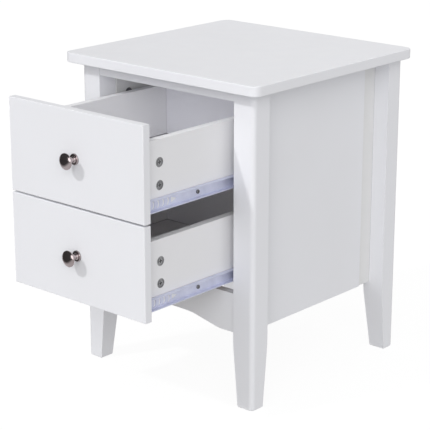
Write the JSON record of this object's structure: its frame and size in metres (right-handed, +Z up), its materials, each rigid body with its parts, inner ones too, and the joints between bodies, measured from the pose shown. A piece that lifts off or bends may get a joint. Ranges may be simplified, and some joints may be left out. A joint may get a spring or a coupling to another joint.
{
  "type": "nightstand with drawers",
  "caption": "White nightstand with a round-cornered top, tapered legs, an arched apron, and drawers with turned knobs that run on ball-bearing slides.",
  "frame": {"origin": "on the floor, in the middle of the box around the whole object with both drawers open as modelled", "axes": "+Z up, the front faces -Y, +X is to the right as seen from the front"},
  "size_m": [0.402, 0.591, 0.52],
  "materials": {
    "white_lacquer": "satin white lacquer on board and solid legs",
    "drawer_board": "matt white foil on chipboard",
    "thin_board": "painted fibreboard, rough edge",
    "beech": "raw fluted beech",
    "zinc_steel": "bright zinc plate",
    "ball_steel": "polished",
    "screw_steel": "zinc plate",
    "cam_zinc": "die-cast zinc, matt",
    "nickel": "polished nickel"
  },
  "bodies": {
    "cabinet": {"top_panel": "white_lacquer", "front_left_leg": "white_lacquer", "front_right_leg": "white_lacquer", "rear_left_leg": "white_lacquer", "rear_right_leg": "white_lacquer", "left_side_panel": "white_lacquer", "right_side_panel": "white_lacquer", "front_top_rail": "white_lacquer", "rear_top_rail": "white_lacquer", "front_apron": "white_lacquer", "rear_apron": "white_lacquer", "back_panel": "thin_board", "rail_dowels": "beech", "side_cam_locks": "cam_zinc", "side_cam_bolts": "zinc_steel", "top_screws": "screw_steel", "cabinet_slide_screws": "screw_steel", "lower_left_cabinet_slide": "zinc_steel", "lower_right_cabinet_slide": "zinc_steel", "upper_left_cabinet_slide": "zinc_steel", "upper_right_cabinet_slide": "zinc_steel"},
    "lower_drawer": {"lower_drawer_front": "white_lacquer", "lower_drawer_left_side": "drawer_board", "lower_drawer_right_side": "drawer_board", "lower_drawer_back": "drawer_board", "lower_drawer_bottom": "thin_board", "lower_drawer_knob": "nickel", "lower_drawer_knob_screw": "screw_steel", "lower_drawer_cam_locks": "cam_zinc", "lower_drawer_cam_bolts": "zinc_steel", "lower_drawer_back_screws": "screw_steel", "lower_drawer_left_slide": "zinc_steel", "lower_drawer_right_slide": "zinc_steel", "lower_drawer_slide_screws": "screw_steel"},
    "lower_ball_cages": {"lower_ball_cages": "zinc_steel", "lower_slide_balls": "ball_steel"},
    "upper_drawer": {"upper_drawer_front": "white_lacquer", "upper_drawer_left_side": "drawer_board", "upper_drawer_right_side": "drawer_board", "upper_drawer_back": "drawer_board", "upper_drawer_bottom": "thin_board", "upper_drawer_knob": "nickel", "upper_drawer_knob_screw": "screw_steel", "upper_drawer_cam_locks": "cam_zinc", "upper_drawer_cam_bolts": "zinc_steel", "upper_drawer_back_screws": "screw_steel", "upper_drawer_left_slide": "zinc_steel", "upper_drawer_right_slide": "zinc_steel", "upper_drawer_slide_screws": "screw_steel"},
    "upper_ball_cages": {"upper_ball_cages": "zinc_steel", "upper_slide_balls": "ball_steel"}
  },
  "joints": [
    {"name": "lower_drawer_slide", "type": "slide", "parent": "cabinet", "child": "lower_drawer", "axis": [0, -1, 0], "range_m": [-0.1917, 0.0303]},
    {"name": "lower_cage_slide", "type": "slide", "parent": "cabinet", "child": "lower_ball_cages", "axis": [0, -1, 0], "range_m": [-0.0964, 0.0156]},
    {"name": "upper_drawer_slide", "type": "slide", "parent": "cabinet", "child": "upper_drawer", "axis": [0, -1, 0], "range_m": [-0.1917, 0.0303]},
    {"name": "upper_cage_slide", "type": "slide", "parent": "cabinet", "child": "upper_ball_cages", "axis": [0, -1, 0], "range_m": [-0.0964, 0.0156]}
  ],
  "couplings": [
    {"joint": "lower_cage_slide", "follows": "lower_drawer_slide", "ratio": 0.5},
    {"joint": "upper_cage_slide", "follows": "upper_drawer_slide", "ratio": 0.5}
  ]
}
